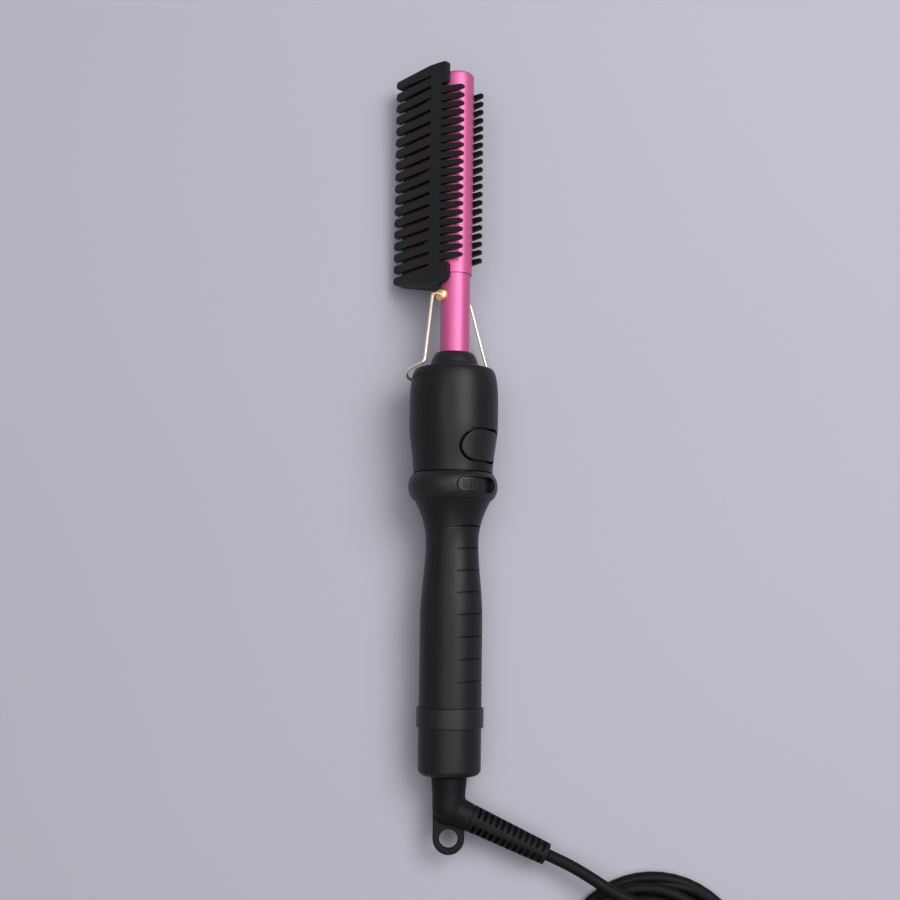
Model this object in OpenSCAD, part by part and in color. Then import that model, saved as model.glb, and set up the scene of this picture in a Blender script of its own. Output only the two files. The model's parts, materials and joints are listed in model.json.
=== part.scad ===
// Hot comb: an electric pressing comb. A heated barrel carries a row of metal teeth
// between two plastic comb guards, on a neck that stands in a two-shell handle.
// Each sub-part is drawn on the tool's own axis: Z runs from the cord end of the handle
// (z = 0) to the barrel tip, the button faces +X and the comb faces -X.
// lying() then rests the whole tool on a table: floor at z = 0, barrel towards +Y.

/* [Handle] */
// Length of the handle from its cord end to its shoulder
handle_len = 163.6; // [162:0.1:165]
// Radius of the housing round the button
housing_r = 18.2; // [17.8:0.1:18.6]
// Radius of the grip near the cord end
grip_r = 12.6; // [12.2:0.1:13]
// Radius of the waist, where the first finger goes
waist_r = 10.7; // [10.4:0.1:11.2]
// Wall of the handle shells
wall = 2; // [1.6:0.1:2.2]
// Radius of the ring at the crest of the collar
collar_r = 18.3; // [17.8:0.1:18.6]
// Radius of the clamp ring near the cord end
band_r = 13.5; // [13.3:0.1:14]
// Number of grip grooves
groove_count = 8; // [4:1:8]

/* [Barrel and neck] */
// Radius of the heated barrel
barrel_r = 6.8; // [6.6:0.1:6.9]
// Length of the heated barrel
barrel_len = 86.4; // [85:0.1:87]
// Radius of the neck tube
neck_r = 6.1; // [5.9:0.1:6.2]
// Free length of the neck between the handle lip and the barrel
neck_len = 33; // [32:0.1:34]

/* [Comb] */
// Reach of the guard teeth from the tool's axis
tooth_reach = 31.6; // [30:0.1:31.8]
// Number of long teeth between the two end caps of a guard
long_teeth = 16; // [10:1:16]
// Number of short teeth on the other side of a guard
short_teeth = 21; // [12:1:21]

/* [Controls] */
// How far the power button travels
button_travel = 0.5; // [0.3:0.1:0.6]
// Angle that the heat selector travels round the collar
selector_travel = 28; // [20:1:30]

/* [Stand] */
// Radius of the brass wire
wire_r = 0.65; // [0.6:0.05:0.75]
// Radius of the wire's bow
bow_r = 21.1; // [20.8:0.1:21.4]

/* [Cord] */
// Radius of the mains cord
cord_r = 2.35; // [2.2:0.05:2.4]
// Radius of the hole in the hanging tab
hang_hole_r = 3.7; // [3.4:0.1:3.9]

/* [Hidden] */

$fn = 64;
through = 60;          // longer than any wall that a cutter passes
black = "#25262a";
soft_black = "#2c2d32";
pink = "#e0559a";
brass = "#c9a75c";

// How the tool lies: it has rolled on to its comb side and rests on the clamp ring,
// the bow of the stand and the lowest comb tip.
roll = 39;
clamp_low = 18.8;      // cord-side edge of the clamp ring
clamp_high = 26.7;
bow_rise = 10;         // slope of the bow's plane towards the cord end
leg_end = 164;         // where the legs of the stand meet its bow
bow_u = 1.6;           // offset of the bow's centre towards the button
bow_drop = bow_r + wire_r - bow_u * sin(roll);
bow_low = leg_end - bow_r * sin(roll) * tan(bow_rise);
tilt = atan((bow_drop - band_r) / (bow_low - clamp_low));
axis_height = band_r * cos(tilt) - clamp_low * sin(tilt);
rest_x = -7.035;
rest_y = -129.84;

module upright_tool() {
    translate([rest_x, rest_y, axis_height]) rotate([tilt, 0, 0]) rotate([-90, 0, 0]) children();
}
module lying() {
    translate([rest_x, rest_y, axis_height])
        rotate([tilt, 0, 0]) rotate([0, -roll, 0]) rotate([-90, 0, 0]) children();
}

// Stations along the axis
lip_top = handle_len + 6.9;
barrel_low = lip_top + neck_len;
barrel_high = barrel_low + barrel_len;
collar_z = 115.2;
collar_half = 5.2;
waist_z = 93;
grip_end = 62;
housing_low = 120.9;
housing_full = 141;
shoulder_low = 151;
shoulder_r = 15.6;
end_r = 12.6;
corner_r = 2.5;

function ease(t) = t * t * (3 - 2 * t);
function mix(a, b, t) = a + (b - a) * t;

// Outline of the handle as [radius, station] points, shrunk by inset for the cavity
function grip_curve(inset, steps) = [for (i = [0:steps])
    let (t = i / steps) [mix(grip_r, waist_r, ease(t)) - inset, mix(grip_end, waist_z, t)]];
function flare_curve(inset, steps) = [for (i = [1:steps])
    let (t = i / steps)
    [waist_r + 5.1 * pow(t, 1.93) - inset, mix(waist_z, collar_z - collar_half, t)]];
function housing_curve(inset, steps) = [for (i = [0:steps])
    let (t = i / steps) [mix(16.2, housing_r, ease(t)) - inset, mix(housing_low, housing_full, t)]];
function shoulder_curve(inset, steps) = [for (i = [0:steps])
    let (t = i / steps)
    [mix(shoulder_r, housing_r, cos(90 * t)) - inset,
     shoulder_low + (handle_len - inset - shoulder_low) * sin(90 * t)]];
function corner_curve(steps) = [for (i = [0:steps])
    let (a = 90 * i / steps) [end_r - corner_r + corner_r * sin(a), corner_r - corner_r * cos(a)]];

module handle_outline() {
    polygon(concat(
        [[0, 0]], corner_curve(5),
        [[end_r, clamp_low], [band_r - 1.4, clamp_low], [band_r - 1.4, clamp_high], [grip_r, clamp_high]],
        grip_curve(0, 10), flare_curve(0, 7),
        [[14.7, collar_z - collar_half], [14.7, housing_low]],
        housing_curve(0, 7), shoulder_curve(0, 7),
        [[0, handle_len]]
    ));
}
module cavity_outline() {
    polygon(concat(
        [[0, 3], [end_r - wall, 3], [end_r - wall, clamp_low - 2.5],
         [band_r - 1.4 - wall, clamp_low - 1], [grip_r - wall, clamp_high + 1]],
        grip_curve(wall, 10), flare_curve(wall, 5),
        [[12.7, collar_z - collar_half], [12.7, housing_low]],
        housing_curve(wall, 5), shoulder_curve(wall, 5),
        [[0, handle_len - wall]]
    ));
}
module turned() {
    rotate_extrude() children();
}

// Places a child drawn on +Z so that it points along +X from the axis at a station
module facing_button(station) {
    translate([0, 0, station]) rotate([0, 90, 0]) children();
}

// Power button: a rounded bar outline, long way round the handle
button_z = 131.1;
button_half_w = 11.2;
button_half_h = 6.4;
module bar_outline(half_w, half_h) {
    square([2 * half_h, 2 * (half_w - half_h)], center = true);
    translate([0, half_w - half_h]) circle(half_h);
    translate([0, half_h - half_w]) circle(half_h);
}
module button_bar(grow, from_u, to_u) {
    facing_button(button_z) translate([0, 0, from_u])
        linear_extrude(to_u - from_u) bar_outline(button_half_w + grow, button_half_h + grow);
}

// Heat selector: a knob that slides round the collar in a curved slot
slot_half_h = 3.1;
knob_angle = -29.5;    // place of the knob at rest, seen from the cord end
knob_half_angle = 7;   // from the middle of the pad to the centre of its round end
slot_ends = [knob_angle - knob_half_angle - 0.2, knob_angle + selector_travel + knob_half_angle + 0.2];
shutter_half_angle = selector_travel + 21;   // the shutter keeps the slot closed all along its travel
module curved_bar(radius_in, radius_out, from_angle, to_angle, half_h) {
    rotate([0, 0, from_angle]) rotate_extrude(angle = to_angle - from_angle)
        translate([radius_in, collar_z - half_h]) square([radius_out - radius_in, 2 * half_h]);
}
module round_slot(ends, half_h) {
    curved_bar(14, 22, ends[0], ends[1], half_h);
    for (a = ends)
        rotate([0, 0, a]) facing_button(collar_z)
            translate([0, 0, 12]) cylinder(r = half_h + 0.03, h = 10);
}

// Shell joint: the shells meet on the plane x = 0
screw_places = [[0, 44], [0, 99], [-9.4, 142.8], [9.4, 142.8]];   // [offset across, station]
boss_r = 3;
screw_r = 1.15;
module screw_posts(side) {
    for (p = screw_places)
        translate([0, p[0], p[1]]) rotate([0, 90 * side, 0]) cylinder(r = boss_r, h = boss_reach(p));
}

module shell_body() {
    difference() {
        turned() handle_outline();
        turned() cavity_outline();
        translate([0, 0, -1]) cylinder(r = swivel_r + 0.08, h = 5);
        translate([0, 0, handle_len - wall - 1]) cylinder(r = neck_r + 1.6, h = 5);
    }
}
module swivel_rib() {
    difference() {
        translate([0, 0, 6.3]) cylinder(r = end_r - wall + 0.3, h = 1.8);
        translate([0, 0, 6]) cylinder(r = core_r + 0.2, h = 3);
    }
}
// Each groove is deepest under the button and runs out on both sides
first_groove = 34.7;
groove_pitch = 8.85;
module groove_cutters() {
    for (i = [0:groove_count - 1]) {
        station = first_groove + groove_pitch * i;
        radius = grip_at(station);
        translate([0, 0, station]) rotate([0, -12, 0]) difference() {
            translate([2, -15, -0.3]) cube([18, 30, 0.6]);
            translate([-0.32 * radius, 0, -1]) cylinder(r = 1.25 * radius, h = 2);
        }
    }
}
function grip_at(s) =
    s < grip_end ? grip_r : mix(grip_r, waist_r, ease(min(1, (s - grip_end) / (waist_z - grip_end))));

module upper_shell() {
    color(soft_black) lying() difference() {
        union() {
            difference() {
                shell_body();
                button_bar(0.6, 8, 30);
                groove_cutters();
                curved_bar(12, 15, knob_angle - 7, knob_angle + selector_travel + 7, 1.4);
            }
            swivel_rib();
            screw_posts(1);
        }
        translate([-through, -through / 2, -5]) cube([through, through, 200]);
        for (p = screw_places)
            translate([-1, p[0], p[1]]) rotate([0, 90, 0]) cylinder(r = screw_r, h = 6);
    }
}
module lower_shell() {
    color(soft_black) lying() difference() {
        union() {
            shell_body();
            swivel_rib();
            screw_posts(-1);
        }
        translate([0, -through / 2, -5]) cube([through, through, 200]);
        for (p = screw_places) {
            translate([1, p[0], p[1]]) rotate([0, -90, 0]) cylinder(r = screw_r + 0.25, h = through);
            translate([-4, p[0], p[1]]) rotate([0, -90, 0]) cylinder(r = 2.3, h = through);
        }
    }
}
function outer_at(s) = s < grip_end ? grip_r : (s < collar_z ? waist_r : housing_r);
function boss_reach(p) = sqrt(pow(outer_at(p[1]), 2) - pow(abs(p[0]) + boss_r, 2)) - 0.3;

module shell_screws() {
    color("silver") lying() for (p = screw_places) {
        translate([4, p[0], p[1]]) rotate([0, -90, 0]) cylinder(r = screw_r, h = 8);
        translate([-4, p[0], p[1]]) rotate([0, -90, 0]) cylinder(r = 2.1, h = 1.6);
    }
}

module collar_ring() {
    color(black) lying() difference() {
        turned() intersection() {
            translate([collar_r - 8, collar_z]) circle(8);
            translate([14.75, collar_z - collar_half]) square([6, 2 * collar_half]);
        }
        round_slot(slot_ends, slot_half_h);
        curved_bar(14.6, 16.1, knob_angle - shutter_half_angle - 2,
                   knob_angle + selector_travel + shutter_half_angle + 2, slot_half_h + 0.5);
    }
}
module clamp_ring() {
    color(black) lying() turned() translate([band_r - 1.35, clamp_low + 0.05])
        square([1.35, clamp_high - clamp_low - 0.1]);
}
module lip_ring() {
    color(black) lying() turned() polygon([
        [neck_r + 0.05, handle_len - wall], [neck_r + 1.55, handle_len - wall],
        [neck_r + 1.55, handle_len], [10.6, handle_len], [10.6, handle_len + 0.9],
        [9.9, handle_len + 2.2], [9.3, handle_len + 4], [8.6, lip_top - 1.3], [7.9, lip_top - 0.3],
        [7.3, lip_top],
        [neck_r + 0.05, lip_top]
    ]);
}

// Neck bush: holds the neck in the housing and keeps its heat off the shells
bush_low = 146;
module neck_bush() {
    color("#d8d2c4") lying() difference() {
        union() {
            translate([0, 0, bush_low]) cylinder(r = 8.6, h = handle_len - wall - 0.1 - bush_low);
            translate([0, 0, 157]) cylinder(r = 12.4, h = 3);
        }
        translate([0, 0, bush_low - 1]) cylinder(r = neck_r + 0.05, h = 40);
        for (a = [-90, 90])
            rotate([0, 0, a]) translate([0, 0, bush_low + 3.5])
                rotate([0, 90, 0]) cylinder(r = 1.25, h = 20);
        for (side = [-1, 1])
            translate([side * 4, 0, 152]) rotate([0, side * 90, 0]) cylinder(r = 2.8, h = 14);
    }
}
module bush_screws() {
    color("silver") lying() for (a = [-90, 90])
        rotate([0, 0, a]) translate([0, 0, bush_low + 3.5]) rotate([0, 90, 0]) {
            translate([0, 0, neck_r - 0.9]) cylinder(r = 1.2, h = 9.6 - neck_r);
            translate([0, 0, 8.65]) cylinder(r = 2.1, h = 1.4);
        }
}

module neck_tube() {
    color(pink) lying() difference() {
        translate([0, 0, bush_low + 1]) cylinder(r = neck_r, h = barrel_low + 7 - bush_low - 1);
        translate([0, 0, bush_low]) cylinder(r = neck_r - 1, h = 80);
        for (a = [-90, 90])
            rotate([0, 0, a]) translate([0, 0, bush_low + 3.5])
                rotate([0, 90, 0]) cylinder(r = 1.25, h = 20);
        translate([pivot_u, 0, pivot_z]) rotate([90, 0, 0]) cylinder(r = 1.5, h = 30, center = true);
    }
}

// Barrel: an extruded tube with a fin that is cut into heated teeth
fin_half = 1;
tooth_pitch = 5.106;
first_tooth = barrel_low + 0.9;    // station of the lower end cap's tip
comb_low = first_tooth + 2.2;
comb_high = first_tooth + (long_teeth + 1) * tooth_pitch - 2.6;
fin_high = barrel_high - 2.1;
metal_reach = tooth_reach - 4.6;
module heating_barrel() {
    color(pink) lying() difference() {
        union() {
            translate([0, 0, barrel_low]) cylinder(r = barrel_r, h = barrel_len - 2);
            translate([-10.5, -fin_half, comb_low]) cube([8, 2 * fin_half, fin_high - comb_low]);
            for (i = [1:long_teeth])
                translate([-metal_reach, -fin_half, first_tooth + i * tooth_pitch - 1.2])
                    cube([metal_reach - 8, 2 * fin_half, 2.4]);
        }
        translate([0, 0, barrel_low - 1]) cylinder(r = neck_r + 0.03, h = 8.03);
        translate([0, 0, barrel_low - 1]) cylinder(r = barrel_r - 1.2, h = barrel_len + 2);
        for (s = rivet_stations)
            translate([rivet_u, 0, s]) rotate([90, 0, 0]) cylinder(r = 1.05, h = 10, center = true);
    }
}
module barrel_tip_plug() {
    color(pink) lying() turned() polygon(concat(
        [[0, barrel_high - 9], [barrel_r - 1.25, barrel_high - 9], [barrel_r - 1.25, barrel_high - 2],
         [barrel_r, barrel_high - 2]],
        [for (i = [0:5]) let (a = 90 * i / 5)
            [barrel_r - 1.4 + 1.4 * cos(a), barrel_high - 1.4 + 1.4 * sin(a)]],
        [[0, barrel_high]]
    ));
}

// Comb guards: two moulded halves, one each side of the heated teeth, closed by end caps
spine_near = -1.5;
spine_far = -7.2;
short_reach = 9;
long_half = 1.7;       // half of a long tooth's width
rivet_stations = [216, 246.5, 277];
rivet_u = -8.8;
module guard_profile() {
    polygon([
        [-tooth_reach + 0.9, 3.7], [spine_far - 0.4, 9.1], [spine_near, 9.3], [short_reach - 1, 7.3],
        [short_reach, 6.6], [short_reach - 0.3, 5.9], [0, 7.1], [spine_near, 6.9],
        [spine_far, 6.6], [-tooth_reach + 0.9, 1.9], [-tooth_reach, 2.2], [-tooth_reach, 3.3]
    ]);
}
module cap_profile() {
    polygon([
        [-tooth_reach, 0.06], [-tooth_reach, 3.3], [-tooth_reach + 0.9, 3.7], [spine_far - 0.4, 9.1],
        [spine_near, 9.3], [3, 8.6], [3, 0.06]
    ]);
}
module along_axis(from_z, to_z) {
    translate([0, 0, from_z]) linear_extrude(to_z - from_z) mirror([0, 1, 0]) children();
}
module tooth_plan(reach, half) {
    translate([min(0, reach), -half]) square([abs(reach), 2 * half]);
}
module guard_plan() {
    translate([spine_far, comb_low - 2]) square([spine_near - spine_far, comb_high - comb_low + 4]);
    for (i = [1:long_teeth]) translate([0, first_tooth + i * tooth_pitch]) {
        translate([-tooth_reach + long_half, -long_half])
            square([tooth_reach - long_half + spine_far + 1, 2 * long_half]);
        translate([-tooth_reach + long_half, 0]) circle(long_half, $fn = 32);
    }
    short_low = barrel_low + 6.5;
    short_pitch = 71.3 / (short_teeth - 1);
    for (i = [0:short_teeth - 1]) translate([spine_near - 1, short_low + i * short_pitch]) {
        polygon([[0, -1.45], [short_reach + 1, -0.95], [short_reach + 1, 0.95], [0, 1.45]]);
        translate([short_reach + 1, 0]) circle(0.95, $fn = 20);
    }
}
// An end cap in plan: from the comb's edge to a lug over the barrel with a rounded corner
function lug_corner(reach, edge, way, r) = [for (i = [0:4])
    let (a = 22.5 * i) [reach - r + r * sin(a), edge + way * r * (1 - cos(a))]];
module cap_plan(edges, inner, reach, corner, lug_end) {
    way = sign(inner[1] - edges[1]);
    polygon(concat(
        [[-tooth_reach, edges[0] + way], [-tooth_reach + 1, edges[0]], [spine_far - 4, edges[1]]],
        lug_corner(reach, edges[1], way, corner),
        [[reach, lug_end - 0.8 * way], [reach - 0.8, lug_end], [spine_near - 1, lug_end],
         [spine_near - 1, inner[1]], [spine_far, inner[1]], [-tooth_reach + 1, inner[0]],
         [-tooth_reach, inner[0] - way]]
    ));
}
module across(from_v, to_v) {
    translate([0, -from_v, 0]) rotate([90, 0, 0]) linear_extrude(to_v - from_v) children();
}
module guard_shape(low_reach, high_reach) {
    intersection() {
        along_axis(barrel_low - 8, barrel_high + 6) guard_profile();
        across(0, 12) guard_plan();
    }
    difference() {
        intersection() {
            along_axis(barrel_low - 8, barrel_high + 6) cap_profile();
            across(0.06, 12) {
                cap_plan([first_tooth - 1.5, barrel_low - 4.2], [first_tooth + 1.5, comb_low - 0.1],
                         low_reach, 3.2, comb_low + 0.9);
                cap_plan([barrel_high + 3.2, barrel_high + 3.4], [barrel_high + 0.1, comb_high + 0.1],
                         high_reach, 1, comb_high - 4.6);
            }
        }
        translate([0, 0, barrel_low - 10]) cylinder(r = barrel_r + 0.05, h = 110);
    }
    for (s = rivet_stations)
        translate([rivet_u, -fin_half, s]) rotate([90, 0, 0]) cylinder(r = 2, h = 7);
}
module rivet_holes() {
    for (s = rivet_stations)
        translate([rivet_u, 0, s]) rotate([90, 0, 0]) cylinder(r = 1.05, h = 14, center = true);
}
module front_comb_guard() {
    color(black) lying() difference() {
        guard_shape(2.3, 1.2);
        rivet_holes();
    }
}
module rear_comb_guard() {
    color(black) lying() difference() {
        mirror([0, 1, 0]) guard_shape(spine_near, spine_near);
        rivet_holes();
    }
}
module guard_rivets() {
    color("silver") lying() for (s = rivet_stations)
        translate([rivet_u, 0, s]) rotate([90, 0, 0]) cylinder(r = 1, h = 13, center = true);
}

// Wire stand: its inward ends turn in two brass bosses on the neck
pivot_u = -2;
pivot_z = 194.4;
arm_v = 12.15;
module wire_between(a, b) {
    run = b - a;
    length = norm(run);
    translate(a) rotate([0, acos(run[2] / length), atan2(run[1], run[0])]) cylinder(r = wire_r, h = length);
}
module stand_bosses() {
    color(brass) lying() for (side = [-1, 1]) difference() {
        union() {
            difference() {
                boss_turning(side) {
                    translate([0, 3.4]) square([2.8, 3.2]);
                    translate([0, 6.6]) intersection() {
                        scale([1, 0.62]) circle(2.8);
                        square(4);
                    }
                }
                translate([0, 0, pivot_z - 10]) cylinder(r = neck_r + 0.01, h = 20);
            }
            boss_turning(side) translate([0, 4.4]) square([1.45, 2.5]);
        }
        translate([pivot_u, 0, pivot_z]) rotate([-90 * side, 0, 0]) cylinder(r = wire_r + 0.05, h = 20);
    }
}
module boss_turning(side) {
    translate([pivot_u, 0, pivot_z]) rotate([-90 * side, 0, 0]) rotate_extrude() children();
}
module wire_stand() {
    color(brass) lying() for (side = [-1, 1]) {
        hinge_end = [pivot_u, side * 5, pivot_z];
        bend = [pivot_u, side * arm_v, pivot_z];
        foot = [bow_u, side * bow_r, leg_end];
        wire_between(hinge_end, bend);
        wire_between(bend, foot);
        translate(bend) sphere(wire_r);
        translate(foot) sphere(wire_r);
        translate([bow_u, 0, leg_end]) rotate([0, -bow_rise, 0]) rotate([0, 0, 90])
            rotate_extrude(angle = 180) translate([bow_r, 0]) circle(wire_r, $fn = 32);
    }
}

// Power button and its switch
module housing_solid(inset, steps) {
    turned() polygon(concat(
        [[0, housing_low]], housing_curve(inset, steps),
        [[housing_r - inset, shoulder_low], [0, shoulder_low]]
    ));
}
module power_button() {
    color(black) lying() {
        intersection() {
            difference() {
                housing_solid(0, 7);
                housing_solid(wall + 0.5, 5);
            }
            button_bar(-0.45, 8, 30);
        }
        intersection() {
            difference() {
                housing_solid(wall + 0.15, 5);
                housing_solid(wall + 1.1, 5);
            }
            button_bar(1.3, 6, 30);
        }
        facing_button(button_z) translate([0, 0, 9.75]) cylinder(r = 2.2, h = 4.8);
    }
}
board_u = 3;
board_top = board_u + 1.6;
module tact_switch() {
    color("#3a3a40") lying() translate([board_top, -3, button_z - 3]) difference() {
        cube([3.6, 6, 6]);
        translate([1.4, 3, 3]) rotate([0, 90, 0]) cylinder(r = 1.8, h = 4);
    }
}
module tact_plunger() {
    color("ivory") lying() facing_button(button_z)
        translate([0, 0, board_top + 2]) cylinder(r = 1.7, h = 9.7 - board_top - 2);
}

// Heat selector knob with its switch
module selector_knob() {
    color(black) lying() rotate([0, 0, knob_angle]) {
        curved_bar(15, 15.8, -shutter_half_angle, shutter_half_angle, slot_half_h + 0.3);
        intersection() {
            curved_bar(15.2, 17.5, -30, 30, slot_half_h);
            round_slot([-knob_half_angle, knob_half_angle], slot_half_h - 0.5);
        }
        for (i = [-3:3])
            curved_bar(17.4, 17.9, 2.4 * i - 0.6, 2.4 * i + 0.6, slot_half_h - 1.2);
        curved_bar(11.2, 15.3, -3.5, 3.5, 1.1);
    }
}
module selector_switch() {
    color("#3a3a40") lying() {
        curved_bar(9.6, 10.9, knob_angle - 9, knob_angle + selector_travel + 9, 2.6);
        translate([board_top, -5, collar_z - 2.6]) cube([4.4, 10, 5.2]);
    }
}

// Circuit board and what stands on it
board_low = 103;
board_high = 143;
board_half_w = 8.6;
module circuit_board() {
    color("#2f6b3c") lying() difference() {
        union() {
            translate([board_u, -board_half_w, 107]) cube([1.6, 2 * board_half_w, 31.5]);
            translate([board_u, -6.5, board_low]) cube([1.6, 13, 5]);
            translate([board_u, -5.8, 138]) cube([1.6, 11.6, board_high - 138]);
        }
        for (side = [-1, 1], s = [109, 136])
            translate([board_u - 1, side * 6.6, s]) rotate([0, 90, 0]) cylinder(r = 0.8, h = 4);
    }
}
module board_relay() {
    color("#22405f") lying() {
        translate([board_u - 6.2, -5, 122]) cube([6.1, 10, 15]);
        translate([board_u - 4.2, -4, 110]) cube([4.1, 8, 8]);
    }
}

// Heater: a flat ceramic element that a wedge presses into the barrel
module heater_element() {
    color("ivory") lying() translate([-0.2, -3.2, barrel_low + 12]) cube([2.2, 6.4, 60]);
}
module heater_wedge() {
    color("silver") lying() difference() {
        intersection() {
            translate([0, 0, barrel_low + 10]) cylinder(r = barrel_r - 1.25, h = 64);
            translate([-10, -4, barrel_low + 10]) cube([20, 8, 64]);
        }
        translate([-0.25, -3.3, barrel_low + 9]) cube([2.3, 6.6, 66]);
    }
}
module temperature_sensor() {
    color("#b5651d") lying() translate([0.9, 0, barrel_low + 3]) {
        cylinder(r = 1.2, h = 6);
        translate([0, 0, 3]) cylinder(r = 0.5, h = 5.9);
    }
}
module thermal_fuse() {
    color("silver") lying() translate([-2.6, 0, 172]) {
        cylinder(r = 1.6, h = 11);
        translate([0, 0, -3]) cylinder(r = 0.5, h = 17);
    }
}
module heater_leads() {
    color("#d8d8d8") lying() for (side = [-1, 1]) {
        translate([0.9, side * 2.2, 139.5]) cylinder(r = 0.9, h = barrel_low + 12 - 139.5);
        translate([0.9, side * 2.2, 139.5]) sphere(0.9);
        translate([0.9, side * 2.2, 139.5]) rotate([0, 90, 0]) cylinder(r = 0.9, h = board_u - 0.9);
    }
}
module mains_leads() {
    color("#7a3b2a") lying() for (side = [-1, 1]) {
        translate([-1.5, side * 4.6, 20]) cylinder(r = 1, h = 85);
        translate([-1.5, side * 4.6, 105]) sphere(1);
        translate([-1.5, side * 4.6, 105]) rotate([0, 90, 0]) cylinder(r = 1, h = board_u + 1.5);
        translate([-1.5, side * 4.6, 20]) sphere(1);
        translate([-1.5, side * 4.6, 20]) rotate([-side * 90, 0, 0]) cylinder(r = 1, h = 3.2);
    }
}

// Swivel: the boot turns in the handle's end, and slip rings carry the current
swivel_r = 6.6;
core_r = 4.6;
ring_stations = [10.5, 14];
module swivel_core() {
    color("#8d8f94") lying() difference() {
        union() {
            translate([0, 0, 3.1]) cylinder(r = 9, h = 3);
            translate([0, 0, 6]) cylinder(r = core_r, h = 12.5);
        }
        for (s = ring_stations)
            translate([0, 0, s]) difference() {
                cylinder(r = core_r + 1, h = 1.6);
                translate([0, 0, -1]) cylinder(r = core_r - 0.8, h = 4);
            }
    }
}
module slip_rings() {
    color("#c77b43") lying() for (s = ring_stations)
        translate([0, 0, s + 0.02]) difference() {
            cylinder(r = core_r + 0.1, h = 1.56);
            translate([0, 0, -1]) cylinder(r = core_r - 0.78, h = 4);
        }
}
module contact_springs() {
    color("#c77b43") lying() for (i = [0, 1], side = [-1, 1])
        rotate([0, 0, 90 * side]) {
            translate([core_r + 0.15, -1.2, ring_stations[i]]) cube([0.5, 2.4, 1.5]);
            translate([core_r + 0.6, -1.2, ring_stations[i] + 0.5]) cube([3.4, 2.4, 0.5]);
            translate([core_r + 3.6, -1.2, ring_stations[i]]) cube([0.6, 2.4, 2.2]);
        }
}

// Boot: a turned neck, an elbow, a flat hanging tab and the socket of the strain relief
elbow_z = -12.6;
arm_end = [38.9, 1.1, -30.3];
arm_run = arm_end - [0, 0, elbow_z];
arm_len = norm(arm_run);
arm_tilt = acos(arm_run[2] / arm_len);
arm_turn = atan2(arm_run[1], arm_run[0]);
socket_len = 9.6;
tab_z = -24.6;
tab_half_w = 6.3;
tab_half_t = 1.5;
module along_arm(start) {
    translate([0, 0, elbow_z]) rotate([0, arm_tilt, arm_turn]) translate([0, 0, start]) children();
}
module swivel_boot() {
    color(black) upright_tool() difference() {
        union() {
            translate([0, 0, elbow_z]) cylinder(r = swivel_r, h = 3.05 - elbow_z);
            translate([0, 0, -7]) cylinder(r1 = swivel_r, r2 = swivel_r + 0.6, h = 6.6);
            translate([0, 0, elbow_z]) sphere(swivel_r);
            along_arm(0) cylinder(r1 = 6, r2 = relief_r1, h = socket_len);
            translate([-tab_half_w, -tab_half_t, tab_z])
                cube([2 * tab_half_w, 2 * tab_half_t, elbow_z - tab_z]);
            translate([0, tab_half_t, tab_z])
                rotate([90, 0, 0]) cylinder(r = tab_half_w, h = 2 * tab_half_t);
        }
        translate([0, 10, tab_z]) rotate([90, 0, 0]) cylinder(r = hang_hole_r, h = 20);
    }
}
relief_r1 = 5.4;
relief_r2 = 4.35;
slot_rows = 12;
module strain_relief() {
    relief_len = arm_len - socket_len;
    color(black) upright_tool() along_arm(socket_len + 0.02) difference() {
        cylinder(r1 = relief_r1, r2 = relief_r2, h = relief_len - 0.02);
        for (i = [0:slot_rows - 1], quarter = [0:3])
            translate([0, 0, 1.6 + i * (relief_len - 3.5) / (slot_rows - 0.5)])
                rotate([0, 0, 45 + 90 * quarter]) translate([3, -2.5, 0]) cube([6, 5, 1.3]);
    }
}

// Cord: a lead leaves the boot, climbs on to the wound turns and joins them from above.
// A short tail comes off the outermost turn, on the floor, and ends in the plug.
// The routes are in the resting frame, where the floor is z = 0.
coil_x = 75.6;
coil_y = -207.4;
coil_inner = 19;       // radius of the innermost turn
low_turns = 5;
layer_rise = 2 * cord_r * 0.87;
lead_route = [
    [32, -160.2, 9.9], [37, -162.4, 9.8], [42.7, -165.1, 10.1], [48, -168, 10.8],
    [53, -171, 11.3], [58.5, -174.2, 11.4], [64.3, -176.9, 11.3], [70.4, -178.9, 11.1],
    [76.6, -180.2, 11], [82.6, -181.3, 10.8],
    [88.6, -183.3, 10.7], [94.2, -186.4, 10.6], [99.1, -190.4, 10.8], [103.4, -195, 11.1],
    [106.8, -200.8, 11], [109, -207.4, 10.2], [109.7, -213.4, 8.4], [108.9, -219.5, 6.9]
];
tail_route = [
    [61.6, -245.4, 2.4], [54.6, -245.2, 2.8], [47.6, -244, 4], [41.1, -241.8, 5.2], [35.6, -239.4, 5.6]
];
cord_sides = 10;

function subdivide(p, steps) = [for (i = [0:len(p) - 2], j = [0:steps - 1])
    let (a = p[max(0, i - 1)], b = p[i], c = p[i + 1], d = p[min(len(p) - 1, i + 2)], t = j / steps)
    0.5 * (2 * b + (c - a) * t + (2 * a - 5 * b + 4 * c - d) * t * t
        + (3 * b - 3 * c + d - a) * t * t * t)];
function smooth_route(p, steps) = concat(subdivide(p, steps), [p[len(p) - 1]]);
function unit(v) = v / norm(v);
function heading(p, i) = unit(p[min(len(p) - 1, i + 1)] - p[max(0, i - 1)]);
function ring(p, i, r, sides) =
    let (h = heading(p, i), side = unit(cross(h, [0, 0, 1])), up = cross(side, h))
    [for (k = [0:sides - 1]) p[i] + r * (cos(360 * k / sides) * side + sin(360 * k / sides) * up)];
module swept_cord(route, r, sides) {
    n = len(route);
    points = [for (i = [0:n - 1]) each ring(route, i, r, sides)];
    walls = [for (i = [0:n - 2], k = [0:sides - 1])
        let (a = i * sides + k, b = i * sides + (k + 1) % sides) [a, b, b + sides, a + sides]];
    polyhedron(points, concat(
        [[for (k = [sides - 1:-1:0]) k]], walls, [[for (k = [0:sides - 1]) (n - 1) * sides + k]]
    ), convexity = 6);
}
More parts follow.
